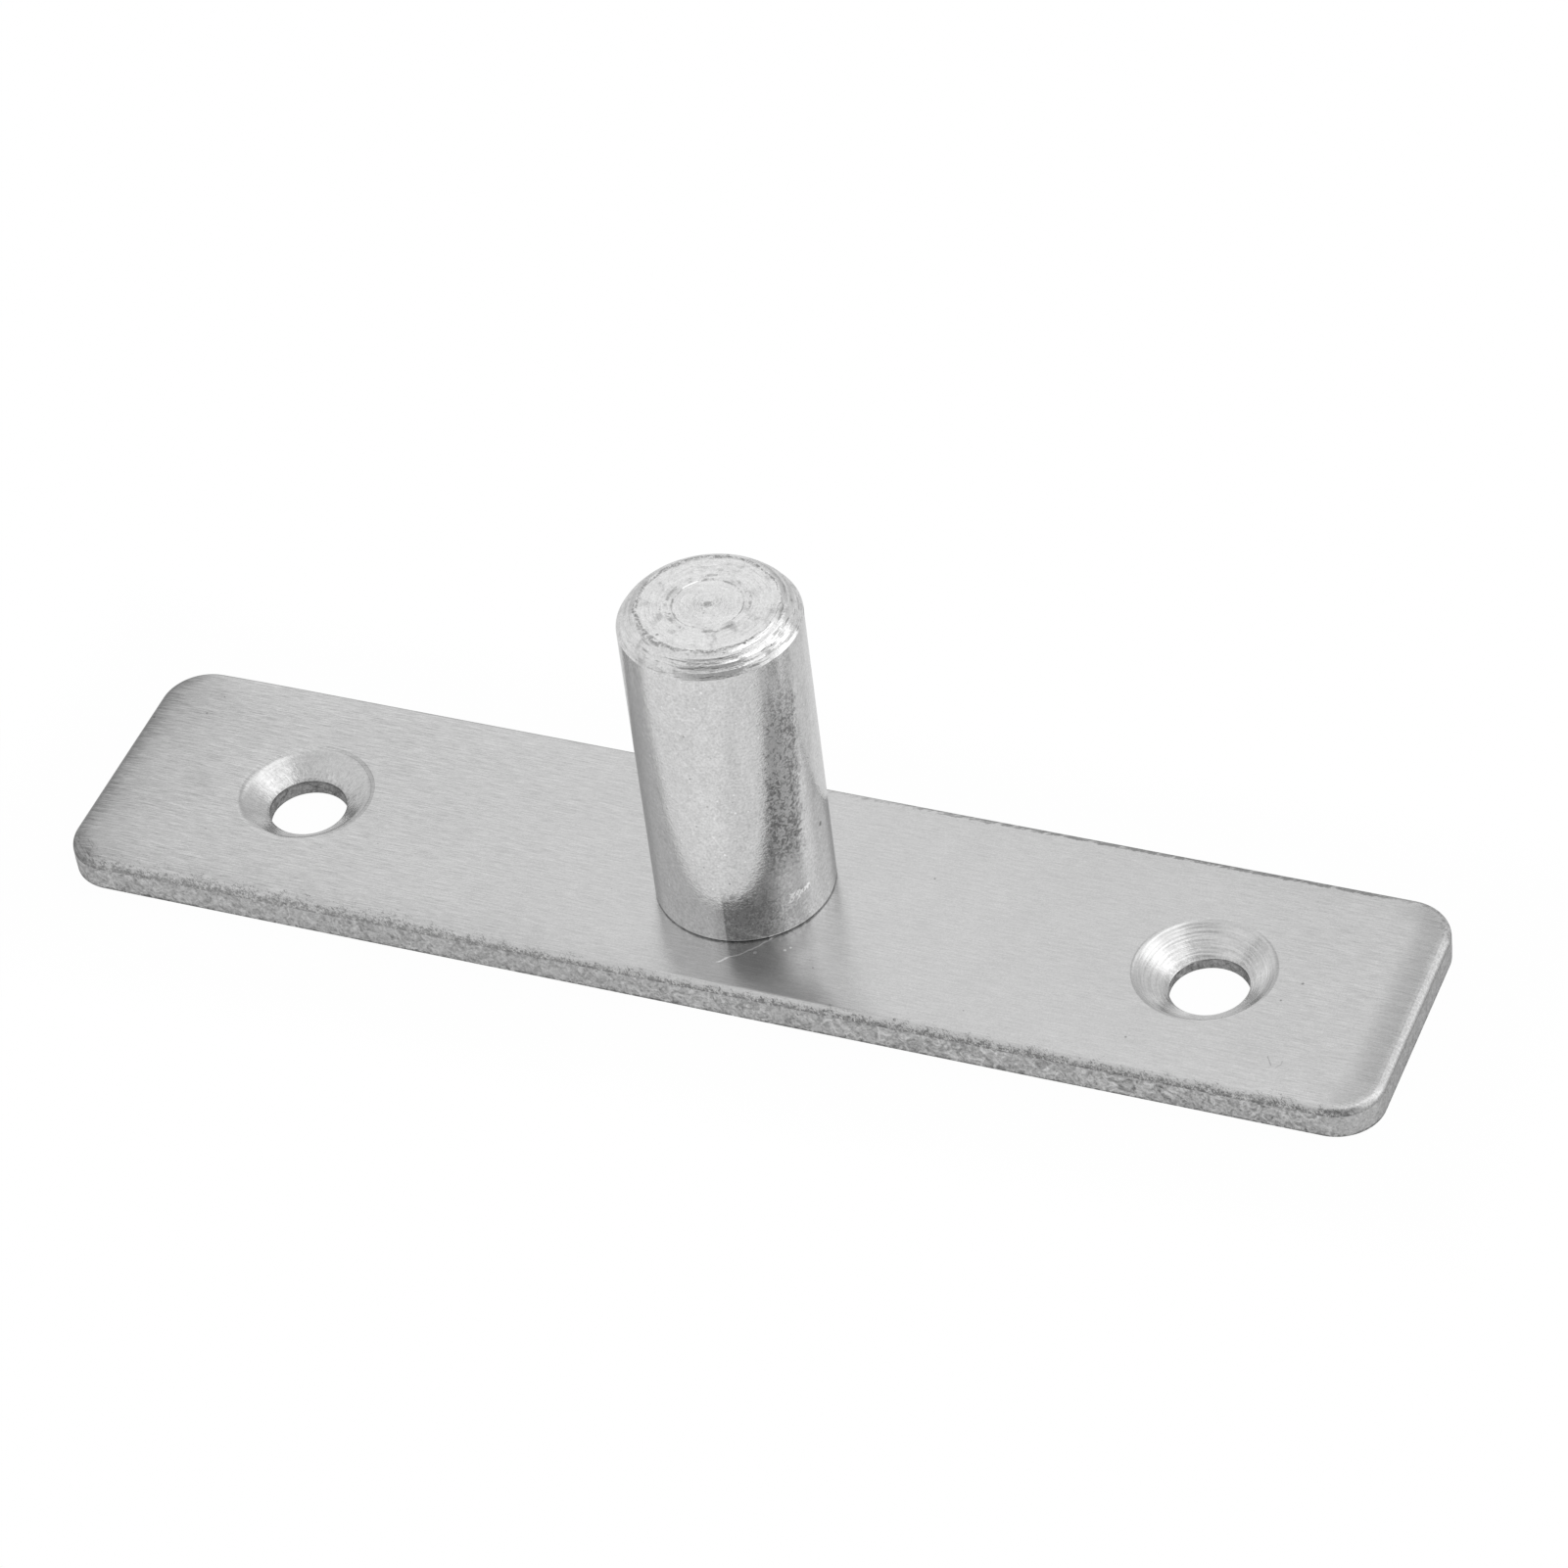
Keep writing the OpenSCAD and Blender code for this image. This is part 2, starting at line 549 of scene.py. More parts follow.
def scratchGroup():
    # one curved scratch in the XY plane: an arc of a circle, from one angle to another
    tree, sockets = newGroup(
        "scratch", "Mask", position=None, centreX=0.0, centreY=0.0, radius=5.0,
        middle=0.0, halfSpan=20.0, width=0.05)
    x, y, _ = split(tree, sockets["position"])
    wobble = noise(tree, sockets["position"], 0.9, 2)
    x = minus(tree, x, sockets["centreX"])
    y = minus(tree, y, sockets["centreY"])
    radius = plus(tree, lengthOf(tree, x, y), scaled(tree, wobble, 0.6, -0.3))
    off = gap(tree, radius, sockets["radius"])
    line = ramp(tree, calc(tree, "DIVIDE", off, sockets["width"]), 0.4, 1.0, 1, 0)
    turn = calc(tree, "RADIANS", sockets["middle"])
    angle = minus(tree, calc(tree, "ARCTAN2", y, x), turn)
    away = calc(tree, "ABSOLUTE", calc(tree, "WRAP", angle, pi, -pi))
    inside = ramp(tree, calc(tree, "DIVIDE", away, calc(tree, "RADIANS", sockets["halfSpan"])),
                  0.8, 1.0, 1, 0)
    return finishGroup(tree, times(tree, line, inside))


def spotGroup():
    # one round spot: 1 in it, 0 outside
    tree, sockets = newGroup(
        "spot", "Mask", position=None, centreX=0.0, centreY=0.0, centreZ=0.0, size=0.2)
    centre = join(tree, sockets["centreX"], sockets["centreY"], sockets["centreZ"])
    away = put(tree, "ShaderNodeVectorMath", {0: sockets["position"], 1: centre},
               operation="DISTANCE").outputs["Value"]
    ragged = noise(tree, sockets["position"], 4.0, 2)
    away = times(tree, away, plus(tree, ragged, 0.5))
    return finishGroup(tree, ramp(tree, calc(tree, "DIVIDE", away, sockets["size"]), 0.5, 1, 1, 0))


def edgeDistanceGroup():
    # how far inside the plate's rounded outline a place lies
    tree, sockets = newGroup("fromEdge", "Distance", position=None)
    x, y, _ = split(tree, sockets["position"])
    radius = plate["cornerRadius"] / mm
    outside = []
    for value, size in ((x, plate["length"]), (y, plate["width"])):
        past = minus(tree, calc(tree, "ABSOLUTE", value), size / 2 / mm - radius)
        outside.append(calc(tree, "MAXIMUM", past, 0))
    return finishGroup(tree, minus(tree, radius, lengthOf(tree, *outside)))


millimetres = millimetresGroup()
grain = grainGroup()
mottle = mottleGroup()
pits = pitsGroup()
turningMarks = ringsGroup()
scratch = scratchGroup()
spot = spotGroup()
fromEdge = edgeDistanceGroup()
print("shared effects made")


# Finishes

def newFinish(name):
    # the material, its nodes, and the place on the piece in millimetres
    material = bpy.data.materials.new(name)
    material.use_nodes = True
    tree = material.node_tree
    tree.nodes["Principled BSDF"].inputs["Metallic"].default_value = 1
    return material, tree, useGroup(tree, millimetres)


def finishMetal(material, grey, roughness, height, depth, edge=0.6):
    # depth is the height's full reach in millimetres, edge the reflection seen at a low angle
    tree = material.node_tree
    shader = tree.nodes["Principled BSDF"]
    shader.inputs["Specular Tint"].default_value = (edge, edge, edge, 1)
    tree.links.new(grey, shader.inputs["Base Color"])
    tree.links.new(roughness, shader.inputs["Roughness"])
    bump = put(tree, "ShaderNodeBump", {"Height": height, "Distance": depth * mm})
    tree.links.new(bump.outputs["Normal"], shader.inputs["Normal"])
    return material


def patchy(tree, place, size, distortion, detail):
    return useGroup(
        tree, mottle, position=place, size=size, distortion=distortion, detail=detail)


def speckled(tree, place, spacing, size, share):
    return useGroup(tree, pits, position=place, spacing=spacing, size=size, share=share)


def combine(tree, base, *layers):
    # base + value * weight for each (value, weight) layer
    total = base
    for value, weight in layers:
        total = scaled(tree, value, weight, total)
    return total


def darken(tree, grey, mask, left):
    # multiplies the grey by left where the mask is 1
    return times(tree, grey, ramp(tree, mask, 0, 1, 1, left, "LINEAR"))


faceFinish = {
    "grey": 0.60,
    "roughness": 0.24,
    "grainLength": 3.2,
    "grainThickness": 0.13,
    "grainContrast": 0.16,
    "grainDepth": 0.004,
    "cloudContrast": 0.012,
    "speckContrast": 0.03,
    # what each kind of wear, and the painted shade at the ends and along the back edge, leaves of
    # the brightness
    "frayGrey": (0.46, 0.33),    # at the left and at the right
    "lineGrey": 0.65,
    "paintedShadeGrey": 0.88,
    "tarnishGrey": 0.68,
    "burrShadeGrey": 0.5,
    "pitGrey": 0.55,
    # a bright hair scratch from the pin's foot, and two small hooked ones near the right hole:
    # centre, radius, middle and half span in degrees, width, change of brightness
    "scratches": (
        (-5.7, 0.1, 12.0, -41, 15, 0.1, 2.0),
        (49.9, -7.2, 2.3, -146, 15, 0.07, 0.7),
        (48.0, -8.3, 0.95, -25, 32, 0.06, 0.75)),
    # dark nicks, and pale dust before the pin: place, size, change of brightness
    "spots": (
        (47.8, 0.5, 0.16, 0.55), (-52.5, 7.1, 0.14, 0.55), (-51.9, 9.4, 0.1, 0.55),
        (3.9, -7.9, 0.2, 1.8), (6.15, -7.0, 0.16, 1.7), (6.5, -6.6, 0.12, 1.7)),
}


def rolledEdgeWearAndShade(tree, place, streaks, grey, settings):
    # the grey with the rolled edge's wear and painted shade, and the mask of the roll at the right
    # end
    x, y, z = split(tree, place)
    rollFoot = (plate["thickness"] - plate["roll"] - plate["sag"]) / mm
    inwards = useGroup(tree, fromEdge, position=place)
    # the way up from the foot of the roll, and on over the face
    climb = plus(tree, inwards, minus(tree, z, rollFoot))
    hairs = join(tree, times(tree, plus(tree, x, y), 6.4), times(tree, climb, 4.2))
    hairs = noise(tree, hairs, 1, 3, 0.8, 0.7, flat=True)
    # frayed along the front: a ragged band, wider towards the left, darker towards the right
    front = times(tree, ramp(tree, y, -8.5, -9.5), ramp(tree, x, 55.0, 56.8, 1, 0))
    wide = ramp(tree, x, -14, -34, 0.0, 0.5)
    wide = plus(tree, wide, ramp(tree, calc(tree, "ABSOLUTE", x), 6, 18, 0.8, 1.0))
    drift = noise(tree, join(tree, x, 3.0), 0.35, 2, 0.6, flat=True)
    wide = times(tree, wide, ramp(tree, drift, 0.3, 0.7, 0.7, 1.3, "LINEAR"))
    reach = calc(tree, "DIVIDE", climb, wide)
    band = ramp(tree, reach, 0.2, 1.5, 0.2, -0.12, "LINEAR")
    tufts = noise(
        tree, join(tree, times(tree, x, 1.7), times(tree, climb, 2.0)), 1, 2, 0.6, flat=True)
    tufts = scaled(tree, tufts, 0.5, -0.25)
    cover = plus(tree, plus(tree, band, tufts), hairs)
    frayMask = times(tree, ramp(tree, cover, 0.5, 0.78), ramp(tree, reach, 1.2, 2.0, front, 0))
    grey = darken(tree, grey, frayMask, ramp(tree, x, -40, 25, *settings["frayGrey"]))
    # a thin dark line and pale ticks over the roll round the right end
    rightEnd = ramp(tree, x, 53.8, 56.0)
    lineBand = ramp(tree, climb, 0.1, 0.75, 0.3, -0.2, "LINEAR")
    lineMask = ramp(tree, plus(tree, lineBand, hairs), 0.52, 0.78, 0, rightEnd)
    grey = darken(tree, grey, lineMask, settings["lineGrey"])
    onRoll = ramp(tree, climb, 0.8, 1.8, rightEnd, 0)
    grey = combine(tree, grey, (onRoll, -0.175), (times(tree, onRoll, hairs), 0.35))
    # painted shade just inside the right end, and tarnished at the left end
    shadeBand = times(tree, ramp(tree, inwards, 0.65, 1.0), ramp(tree, inwards, 1.8, 3.7, 1, 0))
    grey = darken(tree, grey, times(tree, shadeBand, ramp(tree, x, 51.5, 55.0)), settings["paintedShadeGrey"])
    end = -plate["length"] / 2 / mm
    tarnish = scaled(tree, streaks, 0.5, inwards)
    tarnish = times(tree, ramp(tree, tarnish, 0.3, 2.2, 1, 0), ramp(tree, x, end + 4, end + 2))
    grey = darken(tree, grey, tarnish, settings["tarnishGrey"])
    # painted shadow of the burr along the back edge, from left of the pin round the right corner
    back = times(tree, ramp(tree, y, 7.0, 9.5), ramp(tree, x, -12, 25, 0.15, 1))
    back = times(tree, back, ramp(tree, x, 49, 54, 1, 0.6))
    burrShadeBand = times(tree, ramp(tree, inwards, 0.68, 0.92, 0.3, 0), back)
    raggedness = join(tree, times(tree, minus(tree, x, y), 0.8), inwards)
    raggedness = noise(tree, raggedness, 2.0, 3, 0.7, flat=True)
    burrShadeMask = ramp(tree, plus(tree, burrShadeBand, raggedness), 0.62, 0.82)
    burrShadeMask = times(tree, burrShadeMask, ramp(tree, inwards, 0.9, 1.4, back, 0))
    grey = darken(tree, grey, burrShadeMask, settings["burrShadeGrey"])
    return grey, ramp(tree, climb, 0.6, 2.2, rightEnd, 0)


def sheetFinish(name, settings, wornAndShaded=False, frayedAndShaded=False):
    # the first flag adds the marks of the face and painted shade at its left end; the second adds
    # the rolled edge's wear and its painted shade as well
    material, tree, place = newFinish(name)
    x = split(tree, place)[0]
    streaks = useGroup(
        tree, grain, position=place, length=settings["grainLength"],
        thickness=settings["grainThickness"])
    clouds = patchy(tree, place, 6.0, 0.0, 3.0)
    clouds = times(tree, clouds, ramp(tree, x, -57, -25, 2.6, 1))
    fine = patchy(tree, place, 0.16, 0.0, 1.0)
    grey = combine(
        tree, settings["grey"], (streaks, settings["grainContrast"]),
        (clouds, settings["cloudContrast"]), (fine, settings["speckContrast"]))
    specks = speckled(tree, place, 1.5, 0.1, 0.16)
    grey = darken(tree, grey, specks, settings["pitGrey"])
    if wornAndShaded:
        # painted shade: the face is darker towards the left end
        end = -plate["length"] / 2 / mm
        grey = darken(tree, grey, ramp(tree, x, end, end + 10, 1, 0), settings["paintedShadeGrey"])
    if frayedAndShaded:
        grey, rolled = rolledEdgeWearAndShade(tree, place, streaks, grey, settings)
    if wornAndShaded:
        for centreX, centreY, radius, middle, halfSpan, width, change in settings["scratches"]:
            mark = useGroup(
                tree, scratch, position=place, centreX=centreX, centreY=centreY, radius=radius,
                middle=middle, halfSpan=halfSpan, width=width)
            grey = darken(tree, grey, mark, change)
        for centreX, centreY, size, change in settings["spots"]:
            mark = useGroup(tree, spot, position=place, centreX=centreX, centreY=centreY,
                            centreZ=plate["thickness"] / mm, size=size)
            grey = darken(tree, grey, mark, change)
    rough = combine(tree, settings["roughness"], (streaks, 0.02))
    if frayedAndShaded:
        grey = scaled(tree, times(tree, rolled, fine), 0.07, grey)
        rough = scaled(tree, rolled, 0.14, rough)
    return finishMetal(material, grey, rough, streaks, settings["grainDepth"])


wallFinish = {
    "grey": 0.52,
    "endGrey": 0.54,             # round the right end, where it is smoother
    "spotGrey": 0.6,             # what spots and frayed edges leave of the brightness
    "edgeGrey": 0.5,
    "roughness": 0.42,
    "patchSize": 0.9,
    "patchContrast": 0.22,
    "depth": 0.03,
}


def shearedFinish(settings):
    material, tree, place = newFinish("shearedEdge")
    x, _, z = split(tree, place)
    patches = patchy(tree, place, settings["patchSize"], 1.6, 3.0)
    fine = patchy(tree, place, 0.2, 0.5, 1.0)
    # smoother round the right end, patchier towards it along the front
    plain = ramp(tree, x, 52, 56)
    contrast = times(tree, ramp(tree, x, -20, 45, 0.8, 1.25), ramp(tree, plain, 0, 1, 1, 0.3))
    grey = ramp(tree, plain, 0, 1, settings["grey"], settings["endGrey"])
    grey = combine(
        tree, grey, (times(tree, patches, contrast), settings["patchContrast"]), (fine, 0.10))
    spots = speckled(tree, place, 0.9, 0.12, 0.3)
    grey = darken(tree, grey, spots, settings["spotGrey"])
    ends = plus(tree, ramp(tree, z, 0.0, 0.4, 0.28, 0), ramp(tree, z, 2.0, 2.3, 0, 0.12))
    raggedness = noise(tree, place, 3.0, 3, 0.65, 0.4)
    edgeMask = ramp(tree, plus(tree, ends, raggedness), 0.6, 0.8)
    grey = calc(tree, "MAXIMUM", darken(tree, grey, edgeMask, settings["edgeGrey"]), 0.12)
    height = combine(tree, times(tree, patches, 0.4), (fine, 0.25))
    rough = combine(tree, settings["roughness"], (fine, 0.04))
    return finishMetal(material, grey, rough, height, settings["depth"])


coneFinish = {
    "grey": 0.60,
    "ringContrast": 0.10,
    "spokeContrast": 0.09,
    "lips": ((0.10, 0.76), (0.42, 0.84)),           # how far out, and the brightness left
    "paintedLightSides": ((-0.41, -0.91), (1.0, 0.0)),       # ways from the bore to the sides paled with painted light
    "paintedLightGain": 1.45,              # how much brighter they are
    "left": {"grey": 0.60, "rings": 0.25, "chatter": 1.2, "lip": 1.0, "roughness": 0.26},
    "right": {"grey": 0.66, "rings": 1.0, "chatter": 0.45, "lip": 0.3, "roughness": 0.24},
}


def countersinkFinish(name, i, settings, strengths):
    material, tree, place = newFinish(name)
    shift = put(tree, "ShaderNodeMapping", {
        "Vector": place,
        "Location": (-(hole["spacing"] * (i - 0.5) + hole["drift"][i]) / mm, 0, 0)})
    local = shift.outputs["Vector"]
    x, y, _ = split(tree, local)
    radius = lengthOf(tree, x, y)
    bore = hole["bore"] / mm
    mouth = hole["mouth"][i] / mm
    # the sheet's brushing runs on over the rounded edge; the tool's marks fade out there
    onFace = ramp(tree, radius, mouth - 0.7, mouth + 0.3)
    inCone = ramp(tree, onFace, 0, 1, 1, 0, "LINEAR")
    streaks = useGroup(
        tree, grain, position=place, length=faceFinish["grainLength"],
        thickness=faceFinish["grainThickness"])
    streaks = times(tree, streaks, onFace)
    rings = useGroup(tree, turningMarks, position=local, pitch=0.16, sweep=1.4)
    rings = times(tree, rings, ramp(tree, onFace, 0, 1, 1, 0.2, "LINEAR"))
    turnX, turnY = wayOf(tree, x, y)
    spokes = join(
        tree, times(tree, turnX, 15.0), times(tree, turnY, 15.0), times(tree, radius, 2.4))
    spokes = scaled(tree, noise(tree, spokes, 1, 2, 0.65, 0.6), 5.0, -2.5)
    spokes = times(tree, spokes, ramp(tree, radius, bore, mouth, 1.0, 0.3))
    fine = patchy(tree, place, 0.2, 0.3, 2.0)
    grey = combine(
        tree, settings["grey"],
        (inCone, strengths["grey"] - settings["grey"]),
        (streaks, faceFinish["grainContrast"]),
        (rings, settings["ringContrast"] * strengths["rings"]),
        (spokes, settings["spokeContrast"] * strengths["chatter"]),
        (fine, 0.05))
    # thin lip lines left by the tool on the side away from the plate's end
    drift = noise(tree, local, 0.35, 1)
    facing = scaled(tree, turnY, 0.35, turnX)
    for out, left in settings["lips"]:
        wandering = scaled(tree, drift, 0.3, mouth + out - 0.15)
        line = ramp(tree, gap(tree, radius, wandering), 0.012, 0.05, strengths["lip"], 0)
        line = times(tree, line, ramp(tree, facing, -0.1, 0.7))
        grey = darken(tree, grey, line, left)
    # painted light: paler beside the bore, on two sides
    for acrossX, acrossY in settings["paintedLightSides"]:
        side = scaled(tree, turnX, acrossX, times(tree, turnY, acrossY))
        side = times(tree, ramp(tree, side, 0.86, 0.98), ramp(
            tree, radius, bore + 1.0, bore + 2.6, 1, 0))
        grey = darken(tree, grey, side, settings["paintedLightGain"])
    burr = ramp(tree, radius, bore + 0.05, bore + 0.4, 1, 0)
    grit = ramp(tree, plus(tree, burr, times(tree, fine, 0.6)), 0.5, 1.3)
    grey = darken(tree, grey, grit, 0.7)
    # from the sheet's gloss to the cone's
    rough = blend(tree, inCone, faceFinish["roughness"], strengths["roughness"])
    rough = combine(tree, rough, (fine, 0.02))
    height = combine(
        tree, times(tree, rings, 0.6 * strengths["rings"]),
        (spokes, 1.1 * strengths["chatter"]), (streaks, 0.6))
    return finishMetal(material, grey, rough, height, 0.006, 0.9)


shadedTornBore = {
    # a dark grey that paints the shade inside the hole
    "grey": 0.34,
    "rimGrey": 0.7,              # what the torn rim leaves of the brightness
    "roughness": 0.5,
    "depth": 0.02,
}


def boreFinish(settings):
    # the punched bore, torn and dusty; its dark grey is painted shade inside the hole
    material, tree, place = newFinish("boreWall")
    z = split(tree, place)[2]
    torn = patchy(tree, place, 0.7, 1.0, 3.0)
    fine = patchy(tree, place, 0.2, 0.3, 1.0)
    grey = combine(tree, settings["grey"], (torn, 0.15), (fine, 0.09))
    rim = ramp(tree, plus(tree, z, times(tree, fine, 0.1)), 0.9, 1.15)
    grey = calc(tree, "MAXIMUM", darken(tree, grey, rim, settings["rimGrey"]), 0.08)
    rough = combine(tree, settings["roughness"], (fine, 0.05))
    height = combine(tree, torn, (fine, 0.5))
    return finishMetal(material, grey, rough, height, settings["depth"])


zincFinish = {
    "grey": 0.72,
    "roughness": 0.14,
    "patchContrast": 0.04,
    "crystal": 0.2,              # size of the bright and dull crystals, in millimetres
    "crystalContrast": 0.11,
    "crystalDepth": 0.007,
    # what is left of the brightness in the painted dark band, the painted shade beyond it, before
    # it, on the far left, round the foot and in the foot's near part, and by flecks, crease shade,
    # dirt and chips
    "paintedShadeGrey": 0.50,
    "beyondShadeGrey": 0.86,
    "beforeShadeGrey": 0.93,
    "leftShadeGrey": 0.88,
    "footShadeGrey": 0.92,
    "nearFootShadeGrey": 0.82,
    "shadeFleckGrey": 0.40,
    "creaseShadeGrey": 0.6,
    "dirtGrey": 0.5,
    "chipGrey": 1.4,
    "shadeBandAt": -31.0,             # middle of the painted dark band, in degrees round the pin
    "shadeBandHalf": 12.5,
    "shadeBandLean": 0.64,            # degrees that it turns per millimetre of height
    # a dark pit on the right and a spot at the painted glint near the foot: degrees round the pin,
    # height, size, change of brightness
    "marks": ((-2, 11.3, 0.3, 0.35), (-28, 6.8, 0.5, 0.9)),
    # the painted glint's two strokes, arcs on the unrolled wall, measured in degrees round the
    # pin:
    # centre, half span, width, change of brightness
    "glints": ((-29.0, 130.0, 6.5, 2.6, 2.3), (-33.5, 126.5, 3.5, 1.5, 1.8)),
    "glintRadius": 80.0,
    "glintScale": 7.6,           # degrees round the pin that are as long as a millimetre
    "wornAndShaded": True,
}


def zincWallFinish(name, settings):
    material, tree, place = newFinish(name)
    x, y, z = split(tree, place)
    drawn = put(tree, "ShaderNodeMapping", {"Vector": place, "Scale": (1, 1, 0.4)})
    patches = patchy(tree, drawn.outputs["Vector"], 2.0, 1.0, 3.0)
    crystals = patchy(tree, place, settings["crystal"], 0.0, 2.0)
    ripples = patchy(tree, place, 0.8, 1.2, 2.0)
    grey = combine(
        tree, settings["grey"], (patches, settings["patchContrast"]),
        (crystals, settings["crystalContrast"]), (ripples, 0.045))
    rough = combine(tree, settings["roughness"], (patches, 0.02), (ripples, 0.02))
    if settings["wornAndShaded"]:
        # painted reflection: a dark band leaning round the wall, with painted shade beside it and
        # round the foot
        middle = (plate["thickness"] + pin["top"]) / 2 / mm
        lean = scaled(tree, z, -settings["shadeBandLean"], middle * settings["shadeBandLean"])
        turn = plus(tree, calc(tree, "DEGREES", calc(tree, "ARCTAN2", y, x)), lean)
        ragged = scaled(tree, ripples, 3.5, turn)
        away = gap(tree, ragged, settings["shadeBandAt"])
        half = settings["shadeBandHalf"]
        shadeBand = ramp(tree, away, half - 4, half + 3, 1, 0)
        top = pin["top"] / mm
        shadeBand = times(tree, shadeBand, ramp(tree, z, top - 3, top - 9, 0.4, 1))
        shadeBand = times(tree, shadeBand, ramp(tree, z, 7, 12.5, 0, 1))
        # painted shade: the whole side beyond it is a little darker, and so is the foot
        beyondShade = times(
            tree, ramp(tree, turn, settings["shadeBandAt"], -20), ramp(tree, turn, -6, 10, 1, -0.8))
        grey = darken(tree, grey, beyondShade, settings["beyondShadeGrey"])
        # painted shade on the strip that faces the camera, and on the far left
        before = times(tree, ramp(tree, turn, -74, -64), ramp(tree, turn, -52, -42, 1, 0))
        grey = darken(tree, grey, before, settings["beforeShadeGrey"])
        grey = darken(tree, grey, ramp(tree, turn, -118, -135), settings["leftShadeGrey"])
        grey = darken(tree, grey, shadeBand, settings["paintedShadeGrey"])
        # painted reflection: darker round the foot, and darker still in its near part
        footTurn = calc(tree, "DEGREES", calc(tree, "ARCTAN2", y, x))
        foot = times(
            tree, ramp(tree, footTurn, -81, -79.5), ramp(tree, footTurn, -50, -8, 1, 0, "LINEAR"))
        ragged = scaled(tree, ripples, 0.7, z)
        foot = times(tree, foot, ramp(tree, ragged, 7.5, 9.0, 1, 0))
        grey = darken(tree, grey, foot, settings["footShadeGrey"])
        nearFootShade = times(tree, foot, ramp(tree, footTurn, -74, -45, 1, 0))
        grey = darken(tree, grey, nearFootShade, settings["nearFootShadeGrey"])
        # the painted dark band is lifted a little and mottled with coarse dark flecks, which also
        # fall in the foot's painted shade
        shadeFlecks = patchy(tree, place, 0.42, 1.6, 3.0)
        shadeFlecks = ramp(tree, scaled(tree, patches, 0.4, shadeFlecks), -0.2, 0.5)
        shadeFlecks = times(tree, shadeFlecks, calc(tree, "MAXIMUM", shadeBand, times(tree, foot, 0.55)))
        grey = scaled(tree, shadeBand, 0.14, grey)
        grey = darken(tree, grey, shadeFlecks, settings["shadeFleckGrey"])
        for angle, height, size, change in settings["marks"]:
            mark = useGroup(
                tree, spot, position=place, centreX=pin["radius"] / mm * cos(radians(angle)),
                centreY=pin["radius"] / mm * sin(radians(angle)), centreZ=height, size=size)
            grey = darken(tree, grey, mark, change)
        # painted glint: two bright broken strokes near the foot
        broken = ramp(tree, crystals, -0.5, 0.3)
        unrolled = join(tree, footTurn, times(tree, z, settings["glintScale"]))
        for centreX, centreY, halfSpan, width, change in settings["glints"]:
            glint = useGroup(
                tree, scratch, position=unrolled, centreX=centreX, centreY=centreY,
                radius=settings["glintRadius"], middle=-90.0, halfSpan=halfSpan, width=width)
            grey = darken(tree, grey, times(tree, glint, broken), change)
        # painted shade in the crease where the pin meets the plate
        creaseShade = ramp(tree, scaled(tree, ripples, 0.08, z), 3.06, 3.22, 1, 0)
        grey = darken(tree, grey, creaseShade, settings["creaseShadeGrey"])
    grey = darken(tree, grey, speckled(tree, place, 1.0, 0.1, 0.28), settings["dirtGrey"])
    elsewhere = put(tree, "ShaderNodeMapping", {"Vector": place, "Location": (31, 17, 5)})
    chips = speckled(tree, elsewhere.outputs["Vector"], 0.7, 0.09, 0.3)
    grey = darken(tree, grey, chips, settings["chipGrey"])
    grey = calc(tree, "MINIMUM", calc(tree, "MAXIMUM", grey, 0.08), 0.95)
    height = combine(tree, times(tree, crystals, 0.4), (ripples, 0.2))
    return finishMetal(material, grey, rough, height, settings["crystalDepth"], 0.85)


# the riveted head differs from the wall in these
peenedHead = {
    "grey": 0.62,
    "roughness": 0.34,
    "crystal": 0.7,
    "crystalDepth": 0.05,
    "wornAndShaded": False,
}

endFinish = {
    "grey": 0.75,
    "roughness": 0.22,
    "crownRoughness": 0.14,
    "ringContrast": 0.06,
    "dirtRing": 5.75,            # radius of the dirt left at the edge of the faced end
    # broken arcs of dirt: how far outside the recess, width, how broken, brightness left
    "arcs": ((-0.05, 0.14, 0.5, 0.6), (0.42, 0.26, 0.48, 0.62)),
    # what is left of the brightness by smudges, the dirt ring, the pip, specks, and grooves with
    # painted shade
    "smudgeGrey": 0.74,
    "dirtGrey": 0.4,
    "pipGrey": 0.62,
    "speckGrey": 0.5,
    "grooveShadeGrey": 0.5,
}


